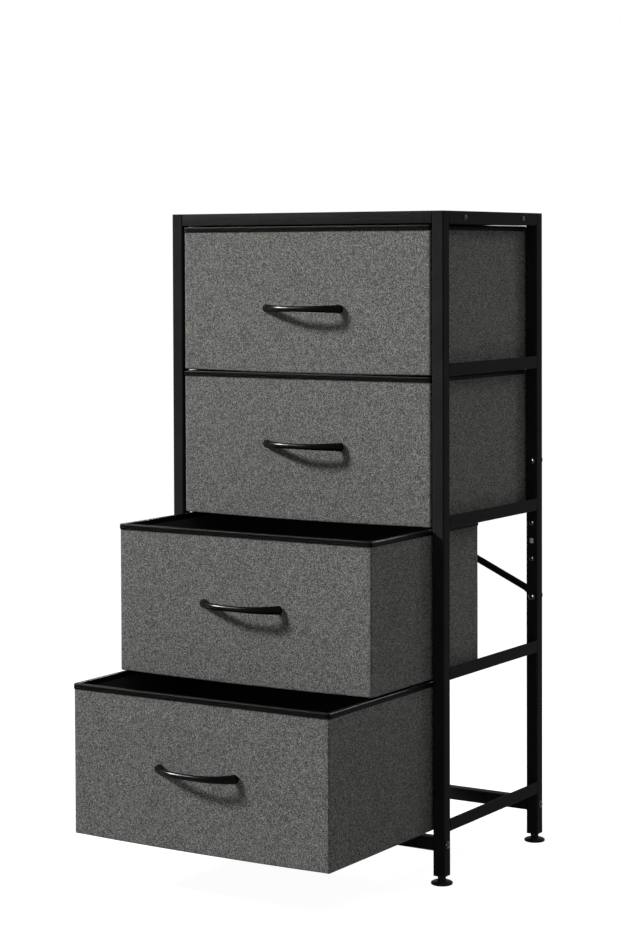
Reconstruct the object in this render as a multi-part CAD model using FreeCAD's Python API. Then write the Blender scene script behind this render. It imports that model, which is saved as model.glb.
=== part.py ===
import FreeCAD, Part
import math
import os

# Fabric drawer dresser: two welded side frames of square steel tube and angle rails, tied by a
# board top, two bottom tubes and a rear X brace, with four fabric drawers and four screw feet.
# Millimetres, +Z up, origin on the floor under the middle of the frame, front towards -Y.

V = FreeCAD.Vector

# ---- driving dimensions -------------------------------------------------------------------
WIDTH = 450.0               # over the posts
DEPTH = 296.0               # over the posts
HEIGHT = 918.0              # floor to the top of the board

TUBE = 18.0                 # outside of the square tube
TUBE_WALL = 0.8
TUBE_CORNER = 2.2           # outside corner radius of the tube

RAIL_SHEET = 1.2            # thickness of the angle rails
RAIL_FLANGE = 32.0          # width of the leg that carries a drawer
RAIL_BEND = 1.0             # inside radius of the bend
BOARD_THICK = 16.8          # top board, which fills the top rails
BOARD_NOTCH_PLAY = 0.3      # round the posts

BOTTOM_TUBE_Z = 46.0        # underside of the front and rear bottom tubes
RAIL_OVER_TUBE = 7.2        # lowest side rail above the bottom tubes
END_PLATE = 1.5             # plates that close the bottom tubes

SPLICE_UNDER_RAIL = 44.0    # joint of upper and lower post below the second drawer's rail
SPLICE_HALF = 45.0          # half the length of the insert
SPLICE_SCREW_UP = 26.0      # screws above and below the joint
INSERT_PLAY = 0.15          # insert in its tube, each side
INSERT_WALL = 1.0
INSERT_CORNER = 1.6
KEY_WIDE = 6.0              # locating key of the insert, seen in a notch at the joint
KEY_TALL = 7.0
KEY_PLAY = 0.2

CAP_HEAD = 1.5              # plug in the top of a post
PLUG_PLAY = 0.15            # plastic plugs in their tube, each side
PLUG_DEEP = 14.0
SOCKET_HEAD = 1.2           # threaded plug in the bottom of a post
SOCKET_DEEP = 18.0

FOOT_GAP = 12.0             # floor to the underside of the socket
FOOT_PAD_R = 15.0
FOOT_PAD_TALL = 5.4
FOOT_PAD_EDGE = 3.0         # height of the pad's upright rim
FOOT_PAD_LIP = 0.8          # bevel at the floor
FOOT_PAD_TOP_R = 6.8        # flat top of the pad, under the collar
FOOT_PAD_CROWN = 0.45       # how far its shoulder stands above a straight bevel
FOOT_HEX = 10.0             # across the flats of the collar
FOOT_STUD_R = 3.0
FOOT_STUD_LONG = 24.0
THREAD_PLAY = 0.05          # stud or shank in its thread, on the radius

BOLT_R = 3.0                # frame bolts
BOLT_HOLE_PLAY = 0.2        # on the radius
BOLT_HEAD_R = 5.2
BOLT_HEAD_TALL = 3.0
BOLT_SOCKET = 4.0           # across the flats of the key socket
BOLT_SOCKET_DEEP = 2.1
BOLT_PAST_NUT = 1.0
NUT_HEX = 10.0
NUT_THICK = 4.5
CAP_NUT_TALL = 10.5         # domed nut of the brace bolts
CAP_NUT_HEX_TALL = 5.0      # its hexagon, below the dome
CAP_NUT_DOME_R = 4.7
CAP_NUT_DEEP = 8.0          # blind thread
CAP_NUT_SPARE = 1.0         # thread left beyond the bolt
HEAD_FLANK = 0.6            # upright edge below the dome of a bolt, screw or rivet head

SCREW_R = 2.0               # splice and board screws
SCREW_HEAD_R = 3.8
SCREW_HEAD_TALL = 2.2
CROSS_LONG = 4.2            # cross recess in a screw's head
CROSS_WIDE = 0.9
CROSS_DEEP = 1.4
SPLICE_SCREW_LONG = 7.0
BOARD_SCREW_LONG = 24.0
BOARD_SCREW_IN = 62.0       # from the front or rear of the frame

BRACE_R = 5.0               # rear X brace, a tube flattened at its ends and middle
BRACE_WALL = 1.0
BRACE_FLAT = 2.4            # thickness of a flattened stretch
BRACE_FLAT_TALL = 13.0
BRACE_TAPER_LONG = 11.0     # over which the tube turns flat
BRACE_TAB = 13.0            # from the bolt to the taper
BRACE_MIDDLE = 20.0         # half the flat stretch in the middle
BRACE_OFF_POST = 0.2        # round stretch clear of the rear of the frame
BRACE_LOW_UP = 81.1         # lower bolts above the third drawer's rail
BRACE_HIGH_UP = 72.4        # upper bolts above the second drawer's rail
RIVET_R = 3.0
RIVET_HEAD_R = 5.0
RIVET_HEAD_TALL = 2.0

DRAWER_SIDE_GAP = 2.4       # to the posts, each side
DRAWER_SETBACK = 1.2        # fabric front behind the posts' front
DRAWER_REAR_GAP = 1.6       # fabric back inside the posts' rear
DRAWER_TOP_GAP = 0.7        # binding to the rail above
DRAWER_CORNER = 3.0
FABRIC = 1.0
LINING = 0.8
STIFFENER = 3.0
STIFFENER_PLAY = 0.1        # in its pocket, each side
STIFFENER_DROP = 0.3        # below the binding
BASE_PLAY = 1.0             # loose base board in the drawer, each side
BINDING = 0.8
BINDING_TALL = 7.5
BINDING_PLAY = 0.1
DRAWERS = 4
DRAWER_3_ON_RAILS = 118.6   # what is left on the rails of the two lower drawers, which stand open
DRAWER_4_ON_RAILS = 13.2

HANDLE_UP = 104.8           # above the underside of its drawer
TOP_HANDLE_UP = 89.4        # the same on the top drawer
HANDLE_PITCH = 120.0        # between its screws
HANDLE_RISE = 21.0          # centre line of the bow, out from where it leaves its feet
HANDLE_BEND = 3             # power of the bow's curve: 2 is a parabola, more is squarer
HANDLE_TALL = 8.6           # section at the middle
HANDLE_DEEP = 7.4
HANDLE_END_TALL = 12.4      # section at the ends
HANDLE_END_DEEP = 7.0
HANDLE_FOOT_R = 6.2
HANDLE_FOOT_TALL = 3.5      # upright stretch on the cloth
HANDLE_FOOT_DOME = 4.0      # and the dome on it
HANDLE_SECTIONS = 9
HANDLE_SCREW_IN = 5.0
HANDLE_SCREW_HEAD_R = 4.2

# ---- places worked out from them ----------------------------------------------------------
HALF_W = WIDTH / 2
HALF_D = DEPTH / 2
POST_X = HALF_W - TUBE / 2
POST_Y = HALF_D - TUBE / 2
BORE = TUBE - 2 * TUBE_WALL
BORE_CORNER = max(TUBE_CORNER - TUBE_WALL, TUBE_WALL / 4)
RAIL_TALL = BOARD_THICK + RAIL_SHEET
BOTTOM_TUBE_MID = BOTTOM_TUBE_Z + TUBE / 2
LOWEST_RAIL = BOTTOM_TUBE_Z + TUBE + RAIL_OVER_TUBE
RAIL_PITCH = (HEIGHT - RAIL_TALL - LOWEST_RAIL) / DRAWERS
RAIL_Z = [HEIGHT - RAIL_TALL - RAIL_PITCH * i for i in range(DRAWERS + 1)]
SPLICE_Z = RAIL_Z[2] - SPLICE_UNDER_RAIL
BRACE_LOW = RAIL_Z[3] + BRACE_LOW_UP
BRACE_HIGH = RAIL_Z[2] + BRACE_HIGH_UP
BRACE_AXIS = HALF_D + BRACE_OFF_POST + BRACE_R
BOLT_HOLE_R = BOLT_R + BOLT_HOLE_PLAY

DRAWER_W = WIDTH - 2 * (TUBE + DRAWER_SIDE_GAP)
DRAWER_Y0 = -HALF_D + DRAWER_SETBACK
DRAWER_Y1 = HALF_D - DRAWER_REAR_GAP
DRAWER_TALL = RAIL_PITCH - RAIL_SHEET - DRAWER_TOP_GAP
DRAWER_REACH = DRAWER_Y1 + HALF_D - TUBE        # of a closed drawer along its rails
DRAWER_OUT = (0, 0, DRAWER_REACH - DRAWER_3_ON_RAILS, DRAWER_REACH - DRAWER_4_ON_RAILS)
POCKET = STIFFENER + 2 * STIFFENER_PLAY
DRAWER_WALL = FABRIC + POCKET + LINING

CORNERS = (("front_left", -1, -1), ("front_right", 1, -1), ("rear_left", -1, 1), ("rear_right", 1, 1))


# ---- shapes that several pieces use -------------------------------------------------------
def block(x0, x1, y0, y1, z0, z1):
    """Box between two corners, given in either order."""
    x0, x1 = sorted((x0, x1))
    y0, y1 = sorted((y0, y1))
    z0, z1 = sorted((z0, z1))
    return Part.makeBox(x1 - x0, y1 - y0, z1 - z0, V(x0, y0, z0))


def rounded_block(x0, x1, y0, y1, z0, z1, radius):
    """Upright box with its four upright edges rounded."""
    k = radius * (1 - math.sqrt(0.5))
    arcs = []
    for cx, cy, ends in (
        (x1, y0, ((-radius, 0), (-k, k), (0, radius))),
        (x1, y1, ((0, -radius), (-k, -k), (-radius, 0))),
        (x0, y1, ((radius, 0), (k, -k), (0, -radius))),
        (x0, y0, ((0, radius), (k, k), (radius, 0))),
    ):
        arcs.append(Part.Arc(*[V(cx + dx, cy + dy, z0) for dx, dy in ends]).toShape())
    edges = []
    for i, arc in enumerate(arcs):
        follower = arcs[(i + 1) % 4]
        edges.append(arc)
        edges.append(Part.makeLine(arc.Vertexes[-1].Point, follower.Vertexes[0].Point))
    return Part.Face(Part.Wire(edges)).extrude(V(0, 0, z1 - z0))


def square_tube(side, wall, corner, z0, z1):
    """Upright square tube about the Z axis."""
    outer = rounded_block(-side / 2, side / 2, -side / 2, side / 2, z0, z1, corner)
    half = side / 2 - wall
    return outer.cut(rounded_block(-half, half, -half, half, z0, z1, max(corner - wall, wall / 4)))


def turned(points, arcs=()):
    """Solid of revolution about Z from (radius, height) points. Each point whose number is in
    arcs is the middle of an arc between its neighbours."""
    spots = [V(r, 0, z) for r, z in points]
    edges = []
    i = 0
    while i < len(spots) - 1:
        if i + 1 in arcs:
            edges.append(Part.Arc(spots[i], spots[i + 1], spots[i + 2]).toShape())
            i += 2
        else:
            edges.append(Part.makeLine(spots[i], spots[i + 1]))
            i += 1
    edges.append(Part.makeLine(spots[-1], spots[0]))
    return Part.Face(Part.Wire(edges)).revolve(V(0, 0, 0), V(0, 0, 1), 360)


def oval(centre, half_a, half_b):
    """Closed circle or ellipse from its centre and its two half axes. It starts at the end of
    the first one, whichever is longer, so that lofts between ovals don't twist."""
    if math.isclose(half_a.Length, half_b.Length):
        circle = Part.Circle(centre, half_a.cross(half_b), half_a.Length)
        circle.XAxis = half_a
        return Part.Wire([circle.toShape()])
    if half_a.Length > half_b.Length:
        return Part.Wire([Part.Ellipse(centre + half_a, centre + half_b, centre).toShape()])
    ellipse = Part.Ellipse(centre + half_b, centre - half_a, centre)
    return Part.Wire([ellipse.toShape(-math.pi / 2, 3 * math.pi / 2)])


def hexagon(across, z0, z1):
    """Upright hexagonal prism about the Z axis, with two flats facing X."""
    r = across / math.sqrt(3)
    angles = [math.radians(30 + 60 * i) for i in range(7)]
    ring = Part.makePolygon([V(r * math.cos(a), r * math.sin(a), z0) for a in angles])
    return Part.Face(ring).extrude(V(0, 0, z1 - z0))


def pointed(shape, place, direction):
    """A shape made about the Z axis, turned to a direction and moved to its place."""
    moved = shape.copy()
    moved.Placement = FreeCAD.Placement(V(*place), FreeCAD.Rotation(V(0, 0, 1), V(*direction)))
    return moved


def headed(shank_r, shank_long, head_r, head_tall):
    """Screw or bolt about Z: a domed head above z = 0 and a plain shank below it."""
    k = math.sqrt(0.5)
    bulge = (head_r * k, HEAD_FLANK + (head_tall - HEAD_FLANK) * k)
    outline = [(0, head_tall), bulge, (head_r, HEAD_FLANK), (head_r, 0), (shank_r, 0),
               (shank_r, -shank_long), (0, -shank_long)]
    return turned(outline, arcs=(1,))


def screw(shank_long, head_r):
    """Screw about Z with a cross recess in its head."""
    arm = CROSS_LONG / 2
    slit = CROSS_WIDE / 2
    floor = SCREW_HEAD_TALL - CROSS_DEEP
    bars = block(-arm, arm, -slit, slit, floor, SCREW_HEAD_TALL).fuse(
        block(-slit, slit, -arm, arm, floor, SCREW_HEAD_TALL))
    return headed(SCREW_R, shank_long, head_r, SCREW_HEAD_TALL).cut(bars)


def bolt(long):
    """Button-head bolt with a hexagonal key socket."""
    plain = headed(BOLT_R, long, BOLT_HEAD_R, BOLT_HEAD_TALL)
    return plain.cut(hexagon(BOLT_SOCKET, BOLT_HEAD_TALL - BOLT_SOCKET_DEEP, BOLT_HEAD_TALL))


def nut():
    """Hexagonal nut standing on z = 0."""
    return hexagon(NUT_HEX, 0, NUT_THICK).cut(
        Part.makeCylinder(BOLT_R + THREAD_PLAY, NUT_THICK))


def cap_nut():
    """Domed nut standing on z = 0, with a blind thread."""
    k = math.sqrt(0.5)
    bulge = (CAP_NUT_DOME_R * k, CAP_NUT_HEX_TALL + (CAP_NUT_TALL - CAP_NUT_HEX_TALL) * k)
    dome = turned([(0, CAP_NUT_TALL), bulge, (CAP_NUT_DOME_R, CAP_NUT_HEX_TALL), (CAP_NUT_DOME_R, 0),
                   (0, 0)], arcs=(1,))
    made = dome.fuse(hexagon(NUT_HEX, 0, CAP_NUT_HEX_TALL))
    return made.cut(Part.makeCylinder(BOLT_R + THREAD_PLAY, CAP_NUT_DEEP))


def drilled(shape, radius, place, direction, deep):
    """Cuts a round hole that starts at a place and runs in a direction."""
    return shape.cut(Part.makeCylinder(radius, deep, V(*place), V(*direction)))


def save(name, solids):
    """Writes one node, which is one solid or a group of like solids."""
    group = solids if isinstance(solids, list) else [solids]
    group = [s.removeSplitter() for s in group]
    shape = group[0] if len(group) == 1 else Part.makeCompound(group)
    for s in group:
        if not s.isValid() or len(s.Solids) != 1:
            raise ValueError(name + " is not one valid solid per piece")
    shape.exportStep(os.path.join("parts", name + ".step"))


# ---- side frames --------------------------------------------------------------------------
def post(sx, sy, upper):
    """Upper or lower half of one corner post, with its holes."""
    z0, z1 = (SPLICE_Z, HEIGHT - CAP_HEAD) if upper else (FOOT_GAP + SOCKET_HEAD, SPLICE_Z)
    made = square_tube(TUBE, TUBE_WALL, TUBE_CORNER, z0, z1)
    made.translate(V(sx * POST_X, sy * POST_Y, 0))
    inner_face = sy * (HALF_D - TUBE)
    side = 1 if upper else -1
    # a screw and half of the key's notch face the middle of the side frame
    x = sx * POST_X
    screw_z = SPLICE_Z + side * SPLICE_SCREW_UP
    made = drilled(made, SCREW_R + BOLT_HOLE_PLAY, (x, inner_face, screw_z), (0, sy, 0), TUBE / 2)
    notch = KEY_WIDE / 2 + KEY_PLAY
    made = made.cut(block(x - notch, x + notch, inner_face, inner_face + sy * TUBE / 2,
                          SPLICE_Z, SPLICE_Z + side * (KEY_TALL / 2 + KEY_PLAY)))
    if sy > 0:
        z = BRACE_HIGH if upper else BRACE_LOW
        made = drilled(made, BOLT_HOLE_R, (x, HALF_D, z), (0, -1, 0), TUBE)
    if not upper:
        made = drilled(made, BOLT_HOLE_R, (sx * HALF_W, sy * POST_Y, BOTTOM_TUBE_MID), (-sx, 0, 0), TUBE)
    return made


def splice_insert(sx, sy):
    """Bright tube that joins the two halves of a post, with its locating key."""
    side = BORE - 2 * INSERT_PLAY
    x = sx * POST_X
    face = sy * (POST_Y - side / 2)
    made = square_tube(side, INSERT_WALL, INSERT_CORNER,
                       SPLICE_Z - SPLICE_HALF, SPLICE_Z + SPLICE_HALF)
    made.translate(V(x, sy * POST_Y, 0))
    made = made.fuse(block(x - KEY_WIDE / 2, x + KEY_WIDE / 2,
                           face + sy * INSERT_WALL / 2, sy * (HALF_D - TUBE),
                           SPLICE_Z - KEY_TALL / 2, SPLICE_Z + KEY_TALL / 2))
    for up in (-SPLICE_SCREW_UP, SPLICE_SCREW_UP):
        place = (x, face, SPLICE_Z + up)
        made = drilled(made, SCREW_R + THREAD_PLAY, place, (0, sy, 0), TUBE / 2)
    return made


def splice_screws(sx, sy):
    """Two screws through the inner face of a post into its insert."""
    made = screw(SPLICE_SCREW_LONG, SCREW_HEAD_R)
    return [pointed(made, (sx * POST_X, sy * (HALF_D - TUBE), SPLICE_Z + up), (0, -sy, 0))
            for up in (-SPLICE_SCREW_UP, SPLICE_SCREW_UP)]


def post_cap(sx, sy):
    """Plastic plug that closes the top of a post."""
    half = TUBE / 2
    stem = BORE / 2 - PLUG_PLAY
    top = HEIGHT - CAP_HEAD
    made = rounded_block(-half, half, -half, half, top, HEIGHT, TUBE_CORNER)
    made = made.fuse(rounded_block(-stem, stem, -stem, stem, top - PLUG_DEEP, top, BORE_CORNER))
    made.translate(V(sx * POST_X, sy * POST_Y, 0))
    return made


def side_rail(sx, z):
    """Angle rail between the posts of one side frame: an upright leg flush with the posts' outer
    faces and a flat leg that carries a drawer or the board."""
    bend = RAIL_BEND + RAIL_SHEET
    k = 1 - math.sqrt(0.5)
    front = -HALF_D + TUBE

    def spot(inward, up):
        return V(sx * (HALF_W - inward), front, z + up)

    edges = [
        Part.makeLine(spot(0, RAIL_TALL), spot(0, bend)),
        Part.Arc(spot(0, bend), spot(bend * k, bend * k), spot(bend, 0)).toShape(),
        Part.makeLine(spot(bend, 0), spot(RAIL_FLANGE, 0)),
        Part.makeLine(spot(RAIL_FLANGE, 0), spot(RAIL_FLANGE, RAIL_SHEET)),
        Part.makeLine(spot(RAIL_FLANGE, RAIL_SHEET), spot(bend, RAIL_SHEET)),
        Part.Arc(spot(bend, RAIL_SHEET), spot(RAIL_SHEET + RAIL_BEND * k, RAIL_SHEET + RAIL_BEND * k),
                 spot(RAIL_SHEET, bend)).toShape(),
        Part.makeLine(spot(RAIL_SHEET, bend), spot(RAIL_SHEET, RAIL_TALL)),
        Part.makeLine(spot(RAIL_SHEET, RAIL_TALL), spot(0, RAIL_TALL)),
    ]
    return Part.Face(Part.Wire(edges)).extrude(V(0, DEPTH - 2 * TUBE, 0))


def board_screw_places():
    """(side, y) of the screws through the top rails into the board."""
    return [(sx, sy * (HALF_D - BOARD_SCREW_IN)) for sx in (-1, 1) for sy in (-1, 1)]


def top_rail(sx):
    """Side rail under the board, with holes for the board's screws."""
    made = side_rail(sx, RAIL_Z[0])
    for side, y in board_screw_places():
        place = (side * HALF_W, y, HEIGHT - BOARD_THICK / 2)
        made = drilled(made, SCREW_R + BOLT_HOLE_PLAY, place, (-side, 0, 0), RAIL_SHEET)
    return made


def top_board():
    """Board top, held between the top rails and notched round the posts."""
    low = HEIGHT - BOARD_THICK
    made = block(-HALF_W + RAIL_SHEET, HALF_W - RAIL_SHEET, -HALF_D, HALF_D, low, HEIGHT)
    inner_x = HALF_W - TUBE - BOARD_NOTCH_PLAY
    inner_y = HALF_D - TUBE - BOARD_NOTCH_PLAY
    for _, sx, sy in CORNERS:
        made = made.cut(block(sx * inner_x, sx * HALF_W, sy * inner_y, sy * HALF_D, low, HEIGHT))
    for sx, y in board_screw_places():
        made = drilled(made, SCREW_R + THREAD_PLAY, (sx * HALF_W, y, HEIGHT - BOARD_THICK / 2),
                       (-sx, 0, 0), BOARD_SCREW_LONG)
    # the bend's inside radius clears the board's lower edge
    clear = RAIL_BEND + THREAD_PLAY
    for sx in (-1, 1):
        edge_x = sx * (HALF_W - RAIL_SHEET)
        corner = Part.makePolygon([V(edge_x, -HALF_D, low), V(edge_x - sx * clear, -HALF_D, low),
                                   V(edge_x, -HALF_D, low + clear), V(edge_x, -HALF_D, low)])
        made = made.cut(Part.Face(corner).extrude(V(0, DEPTH, 0)))
    return made


def board_screws():
    """Screws through the upright legs of the top rails into the board's edges."""
    made = screw(BOARD_SCREW_LONG, SCREW_HEAD_R)
    return [pointed(made, (sx * HALF_W, y, HEIGHT - BOARD_THICK / 2), (sx, 0, 0))
            for sx, y in board_screw_places()]


# ---- bottom tubes, feet -------------------------------------------------------------------
def bottom_tube(sy):
    """Tube between the two side frames, closed by a plate with a bolt hole at each end."""
    long = WIDTH - 2 * TUBE
    made = square_tube(TUBE, TUBE_WALL, TUBE_CORNER, -long / 2, long / 2)
    half = BORE / 2
    for s in (-1, 1):
        plate = rounded_block(-half, half, -half, half, s * long / 2 - (END_PLATE if s > 0 else 0),
                              s * long / 2 + (END_PLATE if s < 0 else 0), BORE_CORNER)
        made = made.fuse(plate)
        made = drilled(made, BOLT_HOLE_R, (0, 0, s * long / 2), (0, 0, -s), 2 * END_PLATE)
    return pointed(made, (0, sy * POST_Y, BOTTOM_TUBE_MID), (1, 0, 0))


def bottom_bolt(sx, sy):
    """Bolt through a post into the nut inside the bottom tube."""
    long = TUBE + END_PLATE + NUT_THICK + BOLT_PAST_NUT
    return pointed(bolt(long), (sx * HALF_W, sy * POST_Y, BOTTOM_TUBE_MID), (sx, 0, 0))


def bottom_nut(sx, sy):
    """Nut behind the end plate of a bottom tube."""
    return pointed(nut(), (sx * (HALF_W - TUBE - END_PLATE), sy * POST_Y, BOTTOM_TUBE_MID), (-sx, 0, 0))


def foot_socket(sx, sy):
    """Threaded plastic plug in the bottom of a post."""
    half = TUBE / 2
    stem = BORE / 2 - PLUG_PLAY
    top = FOOT_GAP + SOCKET_HEAD
    made = rounded_block(-half, half, -half, half, FOOT_GAP, top, TUBE_CORNER)
    made = made.fuse(rounded_block(-stem, stem, -stem, stem, top, top + SOCKET_DEEP, BORE_CORNER))
    made = drilled(made, FOOT_STUD_R + THREAD_PLAY, (0, 0, FOOT_GAP), (0, 0, 1), SOCKET_HEAD + SOCKET_DEEP)
    made.translate(V(sx * POST_X, sy * POST_Y, 0))
    return made


def foot(sx, sy):
    """Levelling foot: a round pad, a hexagonal collar and a stud that screws into the socket."""
    shoulder = ((FOOT_PAD_R + FOOT_PAD_TOP_R) / 2, (FOOT_PAD_EDGE + FOOT_PAD_TALL) / 2 + FOOT_PAD_CROWN)
    pad = turned([(0, 0), (FOOT_PAD_R - FOOT_PAD_LIP, 0), (FOOT_PAD_R, FOOT_PAD_LIP),
                  (FOOT_PAD_R, FOOT_PAD_EDGE), shoulder, (FOOT_PAD_TOP_R, FOOT_PAD_TALL),
                  (0, FOOT_PAD_TALL)], arcs=(4,))
    made = pad.fuse(hexagon(FOOT_HEX, FOOT_PAD_TALL, FOOT_GAP))
    made = made.fuse(Part.makeCylinder(FOOT_STUD_R, FOOT_STUD_LONG, V(0, 0, FOOT_GAP)))
    made.translate(V(sx * POST_X, sy * POST_Y, 0))
    return made


# ---- rear brace ---------------------------------------------------------------------------
def brace_section(x, y, deep, tall):
    """Section across a brace bar, from half its depth along Y and half its height along Z."""
    return oval(V(x, y, 0), V(0, 0, tall), V(0, deep, 0))


def brace_bar(rises, middle_y):
    """One bar of the X: bolted flat to the rear of the posts, and flat where the two cross.
    rises is 1 where the bar goes up towards +X; middle_y is the centre of its middle flat."""
    across = 2 * POST_X
    up = BRACE_HIGH - BRACE_LOW
    half = math.hypot(across, up) / 2
    tab_in = half - BRACE_TAB
    round_out = tab_in - BRACE_TAPER_LONG
    round_in = BRACE_MIDDLE + BRACE_TAPER_LONG
    thin = BRACE_FLAT / 2
    tall = BRACE_FLAT_TALL / 2
    made = block(-BRACE_MIDDLE, BRACE_MIDDLE, middle_y - thin, middle_y + thin, -tall, tall)
    for s in (-1, 1):
        inner_taper = Part.makeLoft([
            brace_section(s * BRACE_MIDDLE, middle_y, thin, tall),
            brace_section(s * round_in, BRACE_AXIS, BRACE_R, BRACE_R)], True, True)
        start = V(s * round_in, BRACE_AXIS, 0)
        arm = Part.makeCylinder(BRACE_R, round_out - round_in, start, V(s, 0, 0))
        outer_taper = Part.makeLoft([
            brace_section(s * round_out, BRACE_AXIS, BRACE_R, BRACE_R),
            brace_section(s * tab_in, HALF_D + thin, thin, tall)], True, True)
        tab = block(s * tab_in, s * half, HALF_D, HALF_D + BRACE_FLAT, -tall, tall)
        tab_end = Part.makeCylinder(tall, BRACE_FLAT, V(s * half, HALF_D, 0), V(0, 1, 0))
        made = made.fuse([inner_taper, arm, outer_taper, tab, tab_end])
        made = drilled(made, BRACE_R - BRACE_WALL, start, (s, 0, 0), round_out - round_in)
        made = drilled(made, BOLT_HOLE_R, (s * half, HALF_D, 0), (0, 1, 0), BRACE_FLAT)
    made = drilled(made, RIVET_R + THREAD_PLAY, (0, middle_y - thin, 0), (0, 1, 0), BRACE_FLAT)
    made.rotate(V(0, 0, 0), V(0, 1, 0), -rises * math.degrees(math.atan2(up, across)))
    made.translate(V(0, 0, (BRACE_HIGH + BRACE_LOW) / 2))
    return made


def brace_rivet():
    """Rivet through the two middle flats."""
    half = headed(RIVET_R, BRACE_FLAT, RIVET_HEAD_R, RIVET_HEAD_TALL)
    z = (BRACE_HIGH + BRACE_LOW) / 2
    rear = pointed(half, (0, BRACE_AXIS + BRACE_FLAT, z), (0, 1, 0))
    return rear.fuse(pointed(half, (0, BRACE_AXIS - BRACE_FLAT, z), (0, -1, 0)))


def brace_bolt(sx, z):
    """Bolt from the front face of a rear post through a brace's tab into its cap nut."""
    long = TUBE + BRACE_FLAT + CAP_NUT_DEEP - CAP_NUT_SPARE
    return pointed(bolt(long), (sx * POST_X, HALF_D - TUBE, z), (0, -1, 0))


def brace_nut(sx, z):
    """Cap nut behind a brace's tab."""
    return pointed(cap_nut(), (sx * POST_X, HALF_D + BRACE_FLAT, z), (0, 1, 0))


# ---- drawers, made closed and then moved to where they stand ------------------------------
def drawer_cover(z):
    """Sewn fabric body: outer fabric, lining and, between them, an open-topped pocket per wall."""
    half = DRAWER_W / 2
    top = z + DRAWER_TALL - BINDING
    floor = z + FABRIC
    made = rounded_block(-half, half, DRAWER_Y0, DRAWER_Y1, z, top, DRAWER_CORNER)
    made = made.cut(block(-half + DRAWER_WALL, half - DRAWER_WALL, DRAWER_Y0 + DRAWER_WALL,
                          DRAWER_Y1 - DRAWER_WALL, floor, top))
    for x0, x1, y0, y1 in pockets():
        made = made.cut(block(x0, x1, y0, y1, floor, top))
    return made


def pockets():
    """(x0, x1, y0, y1) of the front, rear, left and right wall pockets."""
    half = DRAWER_W / 2 - FABRIC
    corner = DRAWER_CORNER
    y0 = DRAWER_Y0 + FABRIC
    y1 = DRAWER_Y1 - FABRIC
    side_y0 = y0 + POCKET + LINING
    side_y1 = y1 - POCKET - LINING
    return [(-half + corner, half - corner, y0, y0 + POCKET),
            (-half + corner, half - corner, y1 - POCKET, y1),
            (-half, -half + POCKET, side_y0, side_y1),
            (half - POCKET, half, side_y0, side_y1)]


def handle_holes(shape, z, up, radius):
    """Drills both handle screw holes through the front wall."""
    for sx in (-1, 1):
        shape = drilled(shape, radius, (sx * HANDLE_PITCH / 2, DRAWER_Y0, z + up), (0, 1, 0), DRAWER_WALL)
    return shape


def stiffeners(z, up):
    """Four wall boards, one in each pocket. The front one carries the handle."""
    p = STIFFENER_PLAY
    top = z + DRAWER_TALL - BINDING - STIFFENER_DROP
    boards = [block(x0 + p, x1 - p, y0 + p, y1 - p, z + FABRIC, top) for x0, x1, y0, y1 in pockets()]
    boards[0] = handle_holes(boards[0], z, up, SCREW_R + BOLT_HOLE_PLAY)
    return boards


def base_board(z):
    """Loose board on the drawer's fabric floor."""
    edge = DRAWER_WALL + BASE_PLAY
    half = DRAWER_W / 2 - edge
    return block(-half, half, DRAWER_Y0 + edge, DRAWER_Y1 - edge, z + FABRIC, z + FABRIC + STIFFENER)


def binding(z):
    """Tape folded over the top edge of all four walls."""
    half = DRAWER_W / 2
    top = z + DRAWER_TALL
    low = top - BINDING_TALL
    out = BINDING_PLAY + BINDING
    y0, y1 = DRAWER_Y0, DRAWER_Y1
    made = rounded_block(-half - out, half + out, y0 - out, y1 + out, low, top, DRAWER_CORNER + out)
    inner = DRAWER_WALL + out
    made = made.cut(block(-half + inner, half - inner, y0 + inner, y1 - inner, low, top))
    # the groove takes the wall, with a little play on both sides
    p = BINDING_PLAY
    lip = DRAWER_WALL + p
    groove = rounded_block(-half - p, half + p, y0 - p, y1 + p, low, top - BINDING, DRAWER_CORNER + p)
    groove = groove.cut(block(-half + lip, half - lip, y0 + lip, y1 - lip, low, top - BINDING))
    return made.cut(groove)


def handle(z, up):
    """Bow handle: a flat-topped curve between two round feet on the drawer's front, thinner at
    its middle than at its ends."""
    reach = HANDLE_PITCH / 2
    root = DRAWER_Y0 - HANDLE_END_DEEP / 2      # where the bow's centre line leaves a foot
    rings = []
    for i in range(HANDLE_SECTIONS):
        share = 2 * i / (HANDLE_SECTIONS - 1) - 1
        rise = HANDLE_RISE * (1 - abs(share) ** HANDLE_BEND)
        slope = HANDLE_RISE * HANDLE_BEND * math.copysign(abs(share) ** (HANDLE_BEND - 1), share) / reach
        a = math.atan(slope)
        out = V(math.sin(a), -math.cos(a), 0)
        spot = V(reach * share, root - rise, z + up)
        thick = share ** 2
        tall = (HANDLE_TALL + (HANDLE_END_TALL - HANDLE_TALL) * thick) / 2
        deep = (HANDLE_DEEP + (HANDLE_END_DEEP - HANDLE_DEEP) * thick) / 2
        rings.append(oval(spot, V(0, 0, tall), out * deep))
    made = Part.makeLoft(rings, True)
    k = math.sqrt(0.5)
    foot_end = turned([(0, -HANDLE_FOOT_DOME), (HANDLE_FOOT_R * k, -HANDLE_FOOT_DOME * k),
                       (HANDLE_FOOT_R, 0), (HANDLE_FOOT_R, HANDLE_FOOT_TALL), (0, HANDLE_FOOT_TALL)],
                      arcs=(1,))
    for sx in (-1, 1):
        x = sx * reach
        made = made.fuse(pointed(foot_end, (x, DRAWER_Y0 - HANDLE_FOOT_TALL, z + up), (0, 1, 0)))
        made = drilled(made, SCREW_R + THREAD_PLAY, (x, DRAWER_Y0, z + up), (0, -1, 0), HANDLE_SCREW_IN)
    return made


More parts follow.
